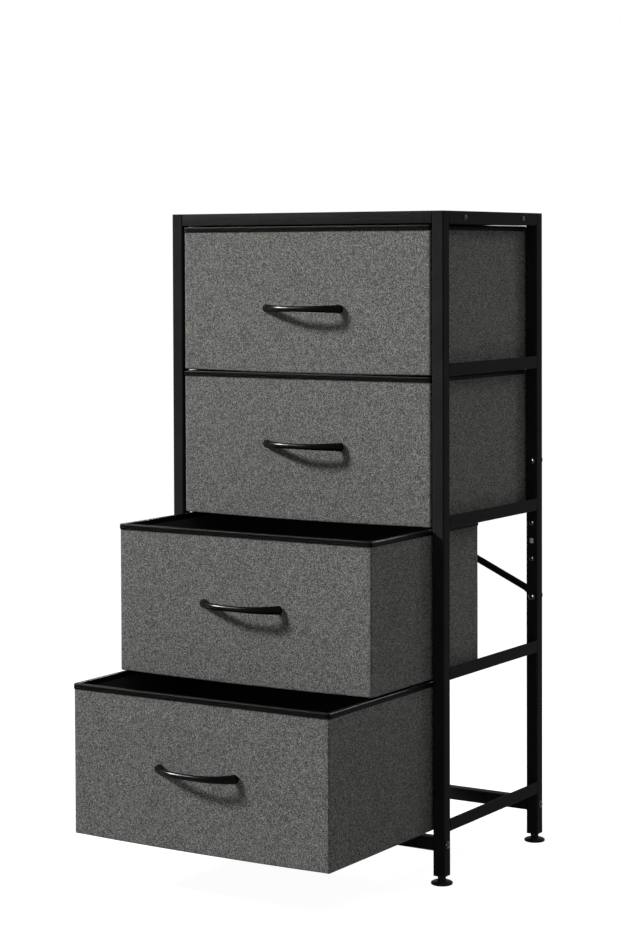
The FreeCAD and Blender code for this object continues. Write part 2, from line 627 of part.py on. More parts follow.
def handle_screws(z, up):
    """Two screws from inside the drawer through its front wall into the handle."""
    made = screw(DRAWER_WALL + HANDLE_SCREW_IN, HANDLE_SCREW_HEAD_R)
    return [pointed(made, (sx * HANDLE_PITCH / 2, DRAWER_Y0 + DRAWER_WALL, z + up), (0, 1, 0))
            for sx in (-1, 1)]


def moved_out(shape, out):
    """A drawer piece, or a list of them, moved forward with its open drawer."""
    for one in shape if isinstance(shape, list) else [shape]:
        one.translate(V(0, -out, 0))
    return shape


# ---- the whole dresser --------------------------------------------------------------------
os.makedirs("parts", exist_ok=True)

for corner, sx, sy in CORNERS:
    save(corner + "_upper_post", post(sx, sy, True))
    save(corner + "_lower_post", post(sx, sy, False))
    save(corner + "_foot", foot(sx, sy))

save("post_splice_inserts", [splice_insert(sx, sy) for _, sx, sy in CORNERS])
save("splice_screws", [s for _, sx, sy in CORNERS for s in splice_screws(sx, sy)])
save("post_caps", [post_cap(sx, sy) for _, sx, sy in CORNERS])
save("foot_sockets", [foot_socket(sx, sy) for _, sx, sy in CORNERS])

save("top_board", top_board())
save("top_board_screws", board_screws())
for side, sx in (("left", -1), ("right", 1)):
    save(side + "_top_rail", top_rail(sx))
    for i in range(DRAWERS):
        save(side + "_drawer_rail_" + str(i + 1), side_rail(sx, RAIL_Z[i + 1]))

save("front_bottom_tube", bottom_tube(-1))
save("rear_bottom_tube", bottom_tube(1))
save("rear_brace_rising_right", brace_bar(1, BRACE_AXIS - BRACE_FLAT / 2))
save("rear_brace_rising_left", brace_bar(-1, BRACE_AXIS + BRACE_FLAT / 2))
save("brace_rivet", brace_rivet())
save("bottom_tube_bolts", [bottom_bolt(sx, sy) for _, sx, sy in CORNERS])
brace_spots = [(sx, z) for sx in (-1, 1) for z in (BRACE_LOW, BRACE_HIGH)]
save("brace_bolts", [brace_bolt(sx, z) for sx, z in brace_spots])
bottom_nuts = [bottom_nut(sx, sy) for _, sx, sy in CORNERS]
save("frame_nuts", bottom_nuts + [brace_nut(sx, z) for sx, z in brace_spots])

for i, out in enumerate(DRAWER_OUT):
    name = "drawer_" + str(i + 1) + "_"
    z = RAIL_Z[i + 1] + RAIL_SHEET
    up = HANDLE_UP if i else TOP_HANDLE_UP
    cover = handle_holes(drawer_cover(z), z, up, SCREW_R + BOLT_HOLE_PLAY)
    save(name + "fabric_body", moved_out(cover, out))
    save(name + "stiffeners", moved_out(stiffeners(z, up), out))
    save(name + "base_board", moved_out(base_board(z), out))
    save(name + "binding", moved_out(binding(z), out))
    save(name + "handle", moved_out(handle(z, up), out))
    save(name + "handle_screws", moved_out(handle_screws(z, up), out))
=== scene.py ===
import math

import bmesh
import bpy
from mathutils import Matrix, Vector, noise


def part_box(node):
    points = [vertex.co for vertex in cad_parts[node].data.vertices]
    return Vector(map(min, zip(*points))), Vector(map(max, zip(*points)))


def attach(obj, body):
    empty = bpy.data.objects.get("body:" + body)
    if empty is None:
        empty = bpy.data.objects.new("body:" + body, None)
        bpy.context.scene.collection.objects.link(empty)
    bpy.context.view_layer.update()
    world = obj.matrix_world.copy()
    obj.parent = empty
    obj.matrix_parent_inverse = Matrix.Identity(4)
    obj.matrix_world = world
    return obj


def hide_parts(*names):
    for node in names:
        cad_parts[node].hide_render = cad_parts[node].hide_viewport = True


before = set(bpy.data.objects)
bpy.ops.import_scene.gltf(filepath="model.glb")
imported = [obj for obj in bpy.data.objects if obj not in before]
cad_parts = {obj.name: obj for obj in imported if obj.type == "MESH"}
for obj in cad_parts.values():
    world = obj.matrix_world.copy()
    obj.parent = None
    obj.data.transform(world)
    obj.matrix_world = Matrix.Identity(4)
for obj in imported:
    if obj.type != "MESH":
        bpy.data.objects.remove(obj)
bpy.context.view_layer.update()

MM = 0.001


# ---- studio -----------------------------------------------------------------------------------
# The dresser stands on a white studio floor in front of nothing but white. The main lamp stands
# well to its left and above it, and a weak one behind picks out the tubes. Three more only put
# a shine on the handles, fasteners, zinc inserts, feet and tape.
LENS = 90.64                                    # on a 36 mm sensor along the frame's long side
SHIFT_UP = -0.1554
EYE = Vector((1.7687, -2.9152, 0.8580))
EYE_TURN = math.radians(32.40)                  # to the left of straight on
EYE_DIP = math.radians(-1.6)
EYE_ROLL = math.radians(-0.2)
FLOOR_SIZE = 14.0                               # half the floor's side
# Each lamp has its name, place, aim, sides in m, watts and spread in degrees. The last names the
# only pieces that it shines on, where None is all of them.
LAMPS = (
    ("key_lamp", (-7.45, -4.77, 5.82), (0.0, -0.15, 1.10), (1.5, 1.5), 44, 26, None),
    ("rim_lamp", (1.6, 1.9, 2.2), (0.1, 0.1, 0.55), (0.8, 0.8), 14, 180, None),
    ("left_shine_lamp", (-7.0, -4.5, 5.5), (0.0, -0.15, 0.50), (3.0, 3.0), 8500, 180, "shiny_pieces"),
    ("right_shine_lamp", (2.1, -3.2, 2.0), (0.1, -0.1, 0.50), (0.7, 3.0), 700, 180, "small_shiny_pieces"),
    ("rear_shine_lamp", (0.0, 7.5, 3.5), (0.0, -0.20, 0.50), (6.4, 1.5), 5000, 180, "edge_tapes"),
)
AMBIENT = 0.26                                  # of white, from the studio's walls
FLOOR_BOUNCE = 0.36                             # pale grey floor, as the object sees it
FLOOR_WHITE = 0.95                              # the paper itself, as it looks
FLOOR_LIFT = 0.72                               # share of plain glow in the floor, as it looks
FLOOR_GLOW = 1.33                               # so that the floor is white but for the shadow


def node(tree, kind, inputs=None, **settings):
    """Adds a shader node. Each input is a value, or another node's socket to join to it."""
    made = tree.nodes.new("ShaderNode" + kind)
    for name, value in settings.items():
        setattr(made, name, value)
    for name, value in (inputs or {}).items():
        if isinstance(value, bpy.types.NodeSocket):
            tree.links.new(value, made.inputs[name])
        else:
            made.inputs[name].default_value = value
    return made


def seen_directly(tree):
    """1 where the camera, a mirror or glass looks, and 0 where light only bounces."""
    path = node(tree, "LightPath")
    either = node(tree, "Math", {0: path.outputs["Is Camera Ray"], 1: path.outputs["Is Glossy Ray"]},
                  operation="MAXIMUM")
    return node(tree, "Math", {0: either.outputs[0], 1: path.outputs["Is Transmission Ray"]},
                operation="MAXIMUM").outputs[0]


eye = bpy.data.cameras.new("eye")
eye.lens = LENS
eye.shift_y = SHIFT_UP
eye_stand = bpy.data.objects.new("eye", eye)
eye_stand.matrix_world = (Matrix.Translation(EYE) @ Matrix.Rotation(EYE_TURN, 4, "Z")
                          @ Matrix.Rotation(math.pi / 2 + EYE_DIP, 4, "X")
                          @ Matrix.Rotation(EYE_ROLL, 4, "Z"))
bpy.context.scene.collection.objects.link(eye_stand)
bpy.context.scene.camera = eye_stand
bpy.context.scene.view_settings.view_transform = "Standard"

studio = bpy.data.worlds.new("white_studio")
studio.use_nodes = True
tree = studio.node_tree
tree.nodes.clear()
dim = node(tree, "Background", {"Color": (1, 1, 1, 1), "Strength": AMBIENT})
white = node(tree, "Background", {"Color": (1, 1, 1, 1), "Strength": 1.0})
walls = node(tree, "MixShader", {0: seen_directly(tree), 1: dim.outputs[0], 2: white.outputs[0]})
node(tree, "OutputWorld", {"Surface": walls.outputs[0]})
bpy.context.scene.world = studio

paper = bpy.data.materials.new("white_floor")
paper.use_nodes = True
tree = paper.node_tree
tree.nodes.clear()
grey = node(tree, "BsdfDiffuse", {"Color": (FLOOR_BOUNCE, FLOOR_BOUNCE, FLOOR_BOUNCE, 1)})
lit = node(tree, "BsdfDiffuse", {"Color": (FLOOR_WHITE, FLOOR_WHITE, FLOOR_WHITE, 1)})
glow = node(tree, "Emission", {"Color": (1, 1, 1, 1), "Strength": FLOOR_GLOW})
shown = node(tree, "MixShader", {0: FLOOR_LIFT, 1: lit.outputs[0], 2: glow.outputs[0]})
surface = node(tree, "MixShader", {0: seen_directly(tree), 1: grey.outputs[0], 2: shown.outputs[0]})
node(tree, "OutputMaterial", {"Surface": surface.outputs[0]})
shape = bmesh.new()
bmesh.ops.create_grid(shape, x_segments=1, y_segments=1, size=FLOOR_SIZE)
ground = bpy.data.meshes.new("studio_floor")
shape.to_mesh(ground)
shape.free()
ground.materials.append(paper)
floor = bpy.data.objects.new("studio_floor", ground)
bpy.context.scene.collection.objects.link(floor)

shiny_pieces = bpy.data.collections.new("shiny_pieces")
small_shiny_pieces = bpy.data.collections.new("small_shiny_pieces")
edge_tapes = bpy.data.collections.new("edge_tapes")
for name, place, target, sides, watts, spread, shines_on in LAMPS:
    lamp = bpy.data.lights.new(name, "AREA")
    lamp.shape = "RECTANGLE"
    lamp.size, lamp.size_y = sides
    lamp.energy = watts
    lamp.spread = math.radians(spread)
    hung = bpy.data.objects.new(name, lamp)
    hung.location = place
    hung.rotation_mode = "QUATERNION"
    hung.rotation_quaternion = (Vector(target) - Vector(place)).to_track_quat("-Z", "Y")
    if shines_on:
        hung.visible_diffuse = False
        hung.light_linking.receiver_collection = bpy.data.collections[shines_on]
    bpy.context.scene.collection.objects.link(hung)


# ---- side frames, bottom tubes and rear brace -------------------------------------------------
# Square mild steel tube and folded angle rails, welded into two ladders, and round tube flattened
# at its ends for the brace. All of it is powder coated in one satin black with a fine peel.
COAT_BLACK = (0.0155, 0.0155, 0.0160, 1)
COAT_WORN = (0.0200, 0.0200, 0.0205, 1)
COAT_PEEL = 1.3 * MM                            # across one bump of the coat
COAT_CLOUD = 45 * MM                            # across one patch of duller coat
RAIL_SHEET = 1.2 * MM
RAIL_BEND = 2.2 * MM                            # outside radius of a rail's fold
RAIL_TALL = 18 * MM
SHARP = math.radians(35)                        # edges sharper than this stay crisp
BEAD = 1.3 * MM                                 # half the width of a weld bead
BEAD_TALL = 0.85 * BEAD
BEAD_STEP = 1.5 * MM                            # from one ripple of it to the next


def new_finish(name):
    """A node material: itself, its node tree and its main shader."""
    made = bpy.data.materials.new(name)
    made.use_nodes = True
    return made, made.node_tree, made.node_tree.nodes["Principled BSDF"]


def steps(tree, factor, *stops):
    """Colour ramp through (position, colour) stops."""
    ramp = node(tree, "ValToRGB", {"Fac": factor})
    while len(ramp.color_ramp.elements) < len(stops):
        ramp.color_ramp.elements.new(0.5)
    for element, (position, colour) in zip(ramp.color_ramp.elements, stops):
        element.position = position
        element.color = colour if len(colour) == 4 else (*colour, 1)
    return ramp.outputs["Color"]


def colour_by(tree, shader, factor, *stops):
    """Colours a shader by a number, through (position, colour) stops."""
    tree.links.new(steps(tree, factor, *stops), shader.inputs["Base Color"])


def roughness_by(tree, shader, factor, smooth, rough, low=0.0, high=1.0):
    """Takes a shader from smooth to rough as a number goes from low to high."""
    ranged = node(tree, "MapRange", {"Value": factor, "From Min": low, "From Max": high,
                                     "To Min": smooth, "To Max": rough}).outputs[0]
    tree.links.new(ranged, shader.inputs["Roughness"])


def grain(tree, across, stretch=(1, 1, 1), detail=3.0, rough=0.55):
    """Noise in object space, with features of about the given size in metres."""
    place = node(tree, "TexCoord").outputs["Object"]
    placed = node(tree, "Mapping", {"Vector": place, "Scale": stretch}).outputs["Vector"]
    return node(tree, "TexNoise", {"Vector": placed, "Scale": 1 / across, "Detail": detail,
                                   "Roughness": rough}).outputs["Fac"]


def relief(tree, shader, height, depth, strength=1.0):
    """Bumps of a real depth in metres on a shader."""
    bump = node(tree, "Bump", {"Height": height, "Distance": depth, "Strength": strength})
    tree.links.new(bump.outputs["Normal"], shader.inputs["Normal"])


def set_finish(nodes, finish):
    """Puts one material on carried-over solids."""
    for name in nodes:
        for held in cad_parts[name].material_slots:
            held.material = finish


def as_piece(shape, name, body, finish, slot, *stands_for, sharp=SHARP):
    """Makes a finished bmesh a piece of the dresser that rides on a body."""
    bmesh.ops.recalc_face_normals(shape, faces=shape.faces)
    for face in shape.faces:
        face.smooth = True
    for edge in shape.edges:
        edge.smooth = edge.calc_face_angle(0) < sharp
    mesh = bpy.data.meshes.new(name)
    shape.to_mesh(mesh)
    shape.free()
    mesh.materials.append(finish)
    made = bpy.data.objects.new(name, mesh)
    bpy.context.scene.collection.objects.link(made)
    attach(made, body)
    if stands_for:
        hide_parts(*stands_for)
    return made


def powder_coat():
    coat, tree, shader = new_finish("satin_powder_coat")
    cloud = grain(tree, COAT_CLOUD, detail=4)
    peel = grain(tree, COAT_PEEL, detail=1)
    colour_by(tree, shader, cloud, (0.35, COAT_BLACK), (0.7, COAT_WORN))
    roughness_by(tree, shader, cloud, 0.36, 0.46, low=0.3, high=0.7)
    shader.inputs["Specular IOR Level"].default_value = 0.005
    relief(tree, shader, peel, 0.03 * MM, 0.5)
    return coat


coat = powder_coat()
corners = ("front_left", "front_right", "rear_left", "rear_right")
posts = [corner + half for corner in corners for half in ("_upper_post", "_lower_post")]
rails = [side + "_top_rail" for side in ("left", "right")]
rails += [side + "_drawer_rail_" + str(i) for side in ("left", "right") for i in (1, 2, 3, 4)]
tubes = ["front_bottom_tube", "rear_bottom_tube", "rear_brace_rising_left", "rear_brace_rising_right"]
set_finish(posts + rails + tubes, coat)

shape = bmesh.new()
for rail in rails:
    low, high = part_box(rail)
    sheet_x = max(low.x, high.x, key=abs)
    inner = sheet_x - math.copysign(RAIL_SHEET + BEAD / 2, sheet_x)
    for end, sy in ((low.y, 1), (high.y, -1)):
        for i in range(round((RAIL_TALL - 2 * RAIL_BEND) / BEAD_STEP)):
            spot = Vector((inner, end + sy * BEAD / 3, low.z + RAIL_BEND + (i + 0.5) * BEAD_STEP))
            fit = Matrix.Translation(spot) @ Matrix.Diagonal((BEAD, BEAD, BEAD_TALL, 1))
            bmesh.ops.create_icosphere(shape, subdivisions=2, radius=1, matrix=fit)
as_piece(shape, "rail_welds", "frame", coat, "frame_black", sharp=math.pi)


# ---- post joints ------------------------------------------------------------------------------
# Each post comes in two halves on a bright zinc-plated tube insert, whose key shows in a notch
# of the post's inner face.
ZINC_LIGHT = (0.56, 0.57, 0.56, 1)
ZINC_DARK = (0.30, 0.31, 0.32, 1)


def zinc_plate():
    plate, tree, shader = new_finish("zinc_plate")
    spangle = grain(tree, 3 * MM, detail=4, rough=0.7)
    colour_by(tree, shader, spangle, (0.35, ZINC_DARK), (0.65, ZINC_LIGHT))
    shader.inputs["Metallic"].default_value = 1.0
    roughness_by(tree, shader, spangle, 0.50, 0.70)
    return plate


set_finish(["post_splice_inserts"], zinc_plate())
shiny_pieces.objects.link(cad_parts["post_splice_inserts"])


# ---- screws, bolts, nuts and rivet ------------------------------------------------------------
# Bought steel fasteners with a glossy black dip coat, which shines on their domed heads.
DIPPED_BLACK = (0.006, 0.006, 0.006, 1)
DIPPED_GREY = (0.020, 0.020, 0.021, 1)


def dip_coat():
    dipped, tree, shader = new_finish("dipped_black_steel")
    wear = grain(tree, 1.5 * MM, detail=4, rough=0.7)
    colour_by(tree, shader, wear, (0.4, DIPPED_BLACK), (0.7, DIPPED_GREY))
    roughness_by(tree, shader, wear, 0.12, 0.24)
    shader.inputs["Specular IOR Level"].default_value = 0.24
    return dipped


fasteners = ("splice_screws", "top_board_screws", "brace_rivet", "brace_bolts", "bottom_tube_bolts",
             "frame_nuts")
set_finish(fasteners, dip_coat())
for name in fasteners:
    shiny_pieces.objects.link(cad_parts[name])
    small_shiny_pieces.objects.link(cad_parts[name])


# ---- post plugs -------------------------------------------------------------------------------
# Injection-moulded nylon plugs pressed into the open ends of the posts: a flat cap with softened
# edges at the top, and the threaded socket of the foot at the bottom.
NYLON_BLACK = (0.012, 0.012, 0.013, 1)
NYLON_GREY = (0.018, 0.018, 0.019, 1)
CAP_SIDE = 18 * MM
CAP_CORNER = 2.2 * MM
CAP_EDGE = 0.7 * MM
CAP_HEAD = 1.5 * MM
STEM_SIDE = 16.1 * MM
HAIR = 0.1 * MM                                 # the least that counts as a distance


def moulded_nylon():
    nylon, tree, shader = new_finish("moulded_nylon")
    spark = grain(tree, 0.6 * MM, detail=2)
    colour_by(tree, shader, grain(tree, 12 * MM), (0.35, NYLON_BLACK), (0.7, NYLON_GREY))
    shader.inputs["Roughness"].default_value = 0.42
    shader.inputs["Specular IOR Level"].default_value = 0.018
    relief(tree, shader, spark, 0.02 * MM, 0.5)
    return nylon


def moved_verts(shape, verts, by):
    bmesh.ops.translate(shape, verts=verts, vec=by)


def soft_edges(shape, edges, radius, segments=3):
    """Rounds edges with a bevel."""
    bmesh.ops.bevel(shape, geom=edges, offset=radius, offset_type="OFFSET", affect="EDGES",
                    segments=segments, profile=0.5, material=-1, clamp_overlap=True)


def add_block(shape, low, high):
    """A box between two corners: its vertices, in a mesh that may hold more."""
    low, high = Vector(low), Vector(high)
    fit = Matrix.Translation((low + high) / 2) @ Matrix.Diagonal((*(high - low), 1))
    return bmesh.ops.create_cube(shape, size=1, matrix=fit)["verts"]


def edges_of(verts):
    """Each edge at some vertices once, always in the same order."""
    return list(dict.fromkeys(edge for vert in verts for edge in vert.link_edges))


def upright(edge):
    a, b = (vert.co for vert in edge.verts)
    return abs(a.z - b.z) > 0.9 * (a - b).length


nylon = moulded_nylon()
set_finish(["foot_sockets"], nylon)
cap_low, cap_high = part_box("post_caps")
shape = bmesh.new()
for x in (cap_low.x, cap_high.x - CAP_SIDE):
    for y in (cap_low.y, cap_high.y - CAP_SIDE):
        add_block(shape, (x, y, cap_high.z - CAP_HEAD), (x + CAP_SIDE, y + CAP_SIDE, cap_high.z))
        inset = (CAP_SIDE - STEM_SIDE) / 2
        add_block(shape, (x + inset, y + inset, cap_low.z),
                  (x + CAP_SIDE - inset, y + CAP_SIDE - inset, cap_high.z - CAP_HEAD))
soft_edges(shape, [e for e in shape.edges if upright(e)], CAP_CORNER, 4)
rim = [e for e in shape.edges if all(v.co.z > cap_high.z - HAIR for v in e.verts)]
soft_edges(shape, rim, CAP_EDGE)
as_piece(shape, "corner_caps", "frame", nylon, "plastic_black", "post_caps")


# ---- feet -------------------------------------------------------------------------------------
# Levelling feet of the same nylon: a turned pad, a hexagonal collar to grip and a threaded stud
# that screws up into the post's socket.
# Lengths in mm: the pad's radii and heights, the collar's radius to its corners, the M6 stud.
PAD_OUTLINE = ((0, 0), (13.8, 0), (14.6, 0.3), (15, 1.0), (15, 2.7), (14.5, 3.3), (12.6, 4.3),
               (10.4, 4.95), (8.2, 5.3), (7.0, 5.4), (0, 5.4))
PAD_STEPS = 64
COLLAR_R = 5.77
COLLAR_Z = (5.2, 12.0)                          # its underside and its top
COLLAR_EDGE = 0.4
STUD_R = 2.9
STUD_STEPS = 24
THREAD_PITCH = 1.25
THREAD_DEEP = 0.5


for corner in corners:
    low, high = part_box(corner + "_foot")
    middle = (low + high) / 2
    shape = bmesh.new()
    outline = [shape.verts.new((r * MM, 0, z * MM)) for r, z in PAD_OUTLINE]
    for a, b in zip(outline, outline[1:]):
        shape.edges.new((a, b))
    bmesh.ops.spin(shape, geom=shape.verts[:] + shape.edges[:], cent=(0, 0, 0), axis=(0, 0, 1),
                   angle=math.tau, steps=PAD_STEPS, use_merge=True)
    bmesh.ops.remove_doubles(shape, verts=shape.verts, dist=0.001 * MM)
    collar = bmesh.ops.create_cone(shape, cap_ends=True, segments=6, radius1=COLLAR_R * MM,
                                   radius2=COLLAR_R * MM, depth=(COLLAR_Z[1] - COLLAR_Z[0]) * MM)["verts"]
    moved_verts(shape, collar, (0, 0, sum(COLLAR_Z) / 2 * MM))
    soft_edges(shape, edges_of(collar), COLLAR_EDGE * MM, 2)
    stud = [shape.verts.new((STUD_R * MM, 0, COLLAR_Z[1] * MM - HAIR))]
    z = COLLAR_Z[1]
    while z < high.z / MM - THREAD_PITCH:
        for r, up in ((STUD_R, 0.5), (STUD_R - THREAD_DEEP, 1.0)):
            stud.append(shape.verts.new((r * MM, 0, (z + up * THREAD_PITCH) * MM)))
        z += THREAD_PITCH
    stud.append(shape.verts.new((0, 0, high.z)))
    run = [shape.edges.new((a, b)) for a, b in zip(stud, stud[1:])]
    bmesh.ops.spin(shape, geom=stud + run, cent=(0, 0, 0), axis=(0, 0, 1), angle=math.tau,
                   steps=STUD_STEPS, use_merge=True)
    bmesh.ops.remove_doubles(shape, verts=shape.verts, dist=0.001 * MM)
    moved_verts(shape, shape.verts, (middle.x, middle.y, 0))
    foot = as_piece(shape, corner + "_levelling_foot", corner + "_foot", nylon, "plastic_black",
                    corner + "_foot")
    small_shiny_pieces.objects.link(foot)


# ---- top board --------------------------------------------------------------------------------
# Fibreboard with a thin black wood-print laminate and a band on its long edges, notched round
# the posts and screwed between the top rails.
BOARD_BLACK = (0.0145, 0.0143, 0.0140, 1)
BOARD_GREY = (0.0265, 0.0260, 0.0255, 1)
BOARD_NOTCH = 18.3 * MM
BOARD_EDGE = 0.5 * MM


def laminate():
    board, tree, shader = new_finish("black_laminate")
    vein = grain(tree, 7 * MM, (0.06, 1, 1), detail=6, rough=0.65)
    pore = grain(tree, 0.9 * MM, (0.08, 1, 1), detail=2)
    both = node(tree, "Math", {0: vein, 1: pore}, operation="MULTIPLY").outputs[0]
    colour_by(tree, shader, both, (0.15, BOARD_BLACK), (0.42, BOARD_GREY))
    shader.inputs["Specular IOR Level"].default_value = 0.01
    roughness_by(tree, shader, vein, 0.38, 0.50)
    relief(tree, shader, both, 0.05 * MM, 0.6)
    return board


low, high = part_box("top_board")
notch_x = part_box("post_caps")[1].x - BOARD_NOTCH
notch_y = high.y - BOARD_NOTCH
plan = []
for sx, sy in ((1, -1), (1, 1), (-1, 1), (-1, -1)):
    notch = [(sx * notch_x, sy * high.y), (sx * notch_x, sy * notch_y), (sx * high.x, sy * notch_y)]
    plan += notch if sx * sy < 0 else notch[::-1]
shape = bmesh.new()
under = shape.faces.new([shape.verts.new((x, y, low.z)) for x, y in plan])
raised = bmesh.ops.extrude_face_region(shape, geom=[under])["geom"]
moved_verts(shape, [v for v in raised if isinstance(v, bmesh.types.BMVert)], (0, 0, high.z - low.z))
soft_edges(shape, shape.edges[:], BOARD_EDGE, 2)
as_piece(shape, "board_top", "frame", laminate(), "board_black", "top_board")


# ---- drawers: sewn fabric bodies --------------------------------------------------------------
# Heathered linen-look polyester outside and thin black non-woven inside, sewn into a box with a
# pocket in each wall. A board in each pocket keeps the wall flat, a little soft at its edges.
YARN = 0.95 * MM                                # from one yarn of the weave to the next
YARN_DEEP = 0.12 * MM
YARN_APART = 7.31                               # how far apart in the noise two yarns read it
YARN_DRIFT = 0.11                               # and two crossings along a yarn
FLECK_SHARE = 0.48                              # of the shade, from single crossings
CLOUD_SHARE = 0.05                              # and from soft patches
CLOTH = 0.6 * MM
CLOTH_DARK = (0.028, 0.028, 0.028)
CLOTH_MID = (0.129, 0.1288, 0.1225)
CLOTH_LIGHT = (0.43, 0.429, 0.408)
LINING = 0.3 * MM
LINING_BLACK = (0.032, 0.031, 0.030)
LINING_GREY = (0.068, 0.066, 0.063)
LINING_DOT = 1.5 * MM                           # from one pressed dot of the lining to the next
WALL = 5.0 * MM                                 # outer face of a wall to its lining
BASE_UNDER = 0.95 * MM                          # underside of the drawer to its base board
WALL_CORNER = 3.0 * MM
LEAST_CORNER = 0.4 * MM
HEM = 2.2 * MM                                  # radius of the fold along the bottom edge
HEM_STEPS = 5
CORNER_STEPS = 5
CELL = 6.0 * MM
WAVE_DEEP = 0.35 * MM
WAVE_LONG = 95 * MM
SAG = 1.8 * MM                                  # of the cloth floor, half way between the rails
SAG_SPAN = 190 * MM                             # from there to a rail
SAG_TALL = 30 * MM                              # how far up the walls it draws the cloth


def number(tree, operation, first, second=0.0):
    """One step of sums on one or two numbers."""
    return node(tree, "Math", {0: first, 1: second}, operation=operation).outputs[0]


def blended(tree, share, first, second):
    """A share of the way from one number to another."""
    return node(tree, "Mix", {0: share, 2: first, 3: second}, data_type="FLOAT").outputs[0]


def crown(tree, along):
    """0 between two yarns and 1 on the middle of a yarn."""
    return number(tree, "SINE", number(tree, "MULTIPLY", number(tree, "FRACT", along), math.pi))


def yarn_shade(tree, yarn, run, seed):
    """How light a yarn is along its run: each has its own shade, which changes slowly."""
    across = number(tree, "MULTIPLY", yarn, YARN_APART)
    along = number(tree, "MULTIPLY", run, YARN_DRIFT)
    place = node(tree, "CombineXYZ", {"X": across, "Y": along, "Z": seed}).outputs[0]
    return node(tree, "TexNoise", {"Vector": place, "Scale": 1.0, "Detail": 2.0}).outputs["Fac"]


def linen():
    """Plain weave of melange yarns on the cloth's own coordinates, with painted shade between the yarns.
    """
    cloth, tree, shader = new_finish("heathered_linen")
    flat = node(tree, "UVMap", uv_map="weave").outputs["UV"]
    counted = node(tree, "VectorMath", {0: flat, "Scale": 1 / YARN}, operation="SCALE").outputs["Vector"]
    split = node(tree, "SeparateXYZ", {"Vector": counted})
    across, up = split.outputs["X"], split.outputs["Y"]
    warp, weft = number(tree, "FLOOR", across), number(tree, "FLOOR", up)
    pair = number(tree, "FRACT", number(tree, "MULTIPLY", number(tree, "ADD", warp, weft), 0.5))
    weft_over = number(tree, "GREATER_THAN", pair, 0.25)
    warp_crown, weft_crown = crown(tree, across), crown(tree, up)
    over = blended(tree, weft_over, warp_crown, weft_crown)
    along = blended(tree, weft_over, weft_crown, warp_crown)
    height = number(tree, "MULTIPLY", over, number(tree, "POWER", along, 0.4))
    warp_shade = yarn_shade(tree, warp, up, 0.0)
    weft_shade = yarn_shade(tree, weft, across, 40.0)
    shade = blended(tree, weft_over, warp_shade, weft_shade)
    crossing = node(tree, "CombineXYZ", {"X": warp, "Y": weft, "Z": 3.0}).outputs[0]
    fleck = node(tree, "TexWhiteNoise", {"Vector": crossing}, noise_dimensions="3D").outputs["Value"]
    cloud = grain(tree, 30 * MM, detail=3)
    heather = number(tree, "ADD", blended(tree, FLECK_SHARE, shade, fleck),
                     number(tree, "MULTIPLY", number(tree, "SUBTRACT", cloud, 0.5), CLOUD_SHARE))
    colour = steps(tree, heather, (0.15, CLOTH_DARK), (0.5, CLOTH_MID), (0.85, CLOTH_LIGHT))
    # Painted shade: the yarn colour is darkened to 0.4 of itself where the weave lies lowest, between the
    # yarns, and kept whole on their crowns.
    painted_gap_shade = node(tree, "MapRange", {"Value": height, "From Max": 0.6, "To Min": 0.4,
                                  "To Max": 1.0}).outputs[0]
    shaded = node(tree, "VectorMath", {0: colour, "Scale": painted_gap_shade}, operation="SCALE").outputs["Vector"]
    tree.links.new(shaded, shader.inputs["Base Color"])
    shader.inputs["Roughness"].default_value = 0.92
    shader.inputs["Specular IOR Level"].default_value = 0.05
    shader.inputs["Sheen Weight"].default_value = 0.05
    relief(tree, shader, height, YARN_DEEP, 0.7)
    return cloth


def non_woven():
    """Felted black sheet with a grid of pressed dots."""
    felt, tree, shader = new_finish("black_non_woven")
    flat = node(tree, "UVMap", uv_map="weave").outputs["UV"]
    counted = node(tree, "VectorMath", {0: flat, "Scale": 1 / LINING_DOT},
                   operation="SCALE").outputs["Vector"]
    split = node(tree, "SeparateXYZ", {"Vector": counted})
    dot = number(tree, "MULTIPLY", crown(tree, split.outputs["X"]), crown(tree, split.outputs["Y"]))
    fibre = grain(tree, 1.1 * MM, detail=4, rough=0.7)
    height = number(tree, "SUBTRACT", fibre, number(tree, "MULTIPLY", dot, 0.5))
    colour_by(tree, shader, height, (0.0, LINING_BLACK), (0.65, LINING_GREY))
    shader.inputs["Roughness"].default_value = 0.85
    shader.inputs["Specular IOR Level"].default_value = 0.05
    shader.inputs["Sheen Weight"].default_value = 0.03
    relief(tree, shader, height, 0.15 * MM, 0.8)
    return felt


def wall_loop(shape, low, high, inset, z):
    """Closed loop of edges at one height, a given way inside the walls' outer faces."""
    r = max(WALL_CORNER - inset, LEAST_CORNER)
    x0, x1 = low.x + inset + r, high.x - inset - r
    y0, y1 = low.y + inset + r, high.y - inset - r
    verts = []
    for cx, cy, start in ((x1, y0, -90), (x1, y1, 0), (x0, y1, 90), (x0, y0, 180)):
        for i in range(CORNER_STEPS + 1):
            a = math.radians(start + 90 * i / CORNER_STEPS)
            verts.append(shape.verts.new((cx + r * math.cos(a), cy + r * math.sin(a), z)))
    return [shape.edges.new((verts[i - 1], verts[i])) for i in range(len(verts))]


def skin_between(shape, loop, next_loop):
    """One band of faces from a loop round a drawer to the next."""
    for edge, across in zip(loop, next_loop):
        shape.faces.new((edge.verts[0], edge.verts[1], across.verts[1], across.verts[0]))


def walls_through(shape, low, high, section):
    """Skin round a drawer through the (inset, height) points of its section: its edge loops."""
    loops = [wall_loop(shape, low, high, inset, z) for inset, z in section]
    for a, b in zip(loops, loops[1:]):
        skin_between(shape, a, b)
    return loops


def finer(shape, cell):
    """Cuts the long edges that lie along X or Y into cells of about one size."""
    for axis in (0, 1):
        long = [e for e in shape.edges if abs(e.verts[0].co[axis] - e.verts[1].co[axis]) > 4 * cell]
        if long:
            cuts = round(max(e.calc_length() for e in long) / cell) - 1
            bmesh.ops.subdivide_edges(shape, edges=long, cuts=cuts, use_grid_fill=True)


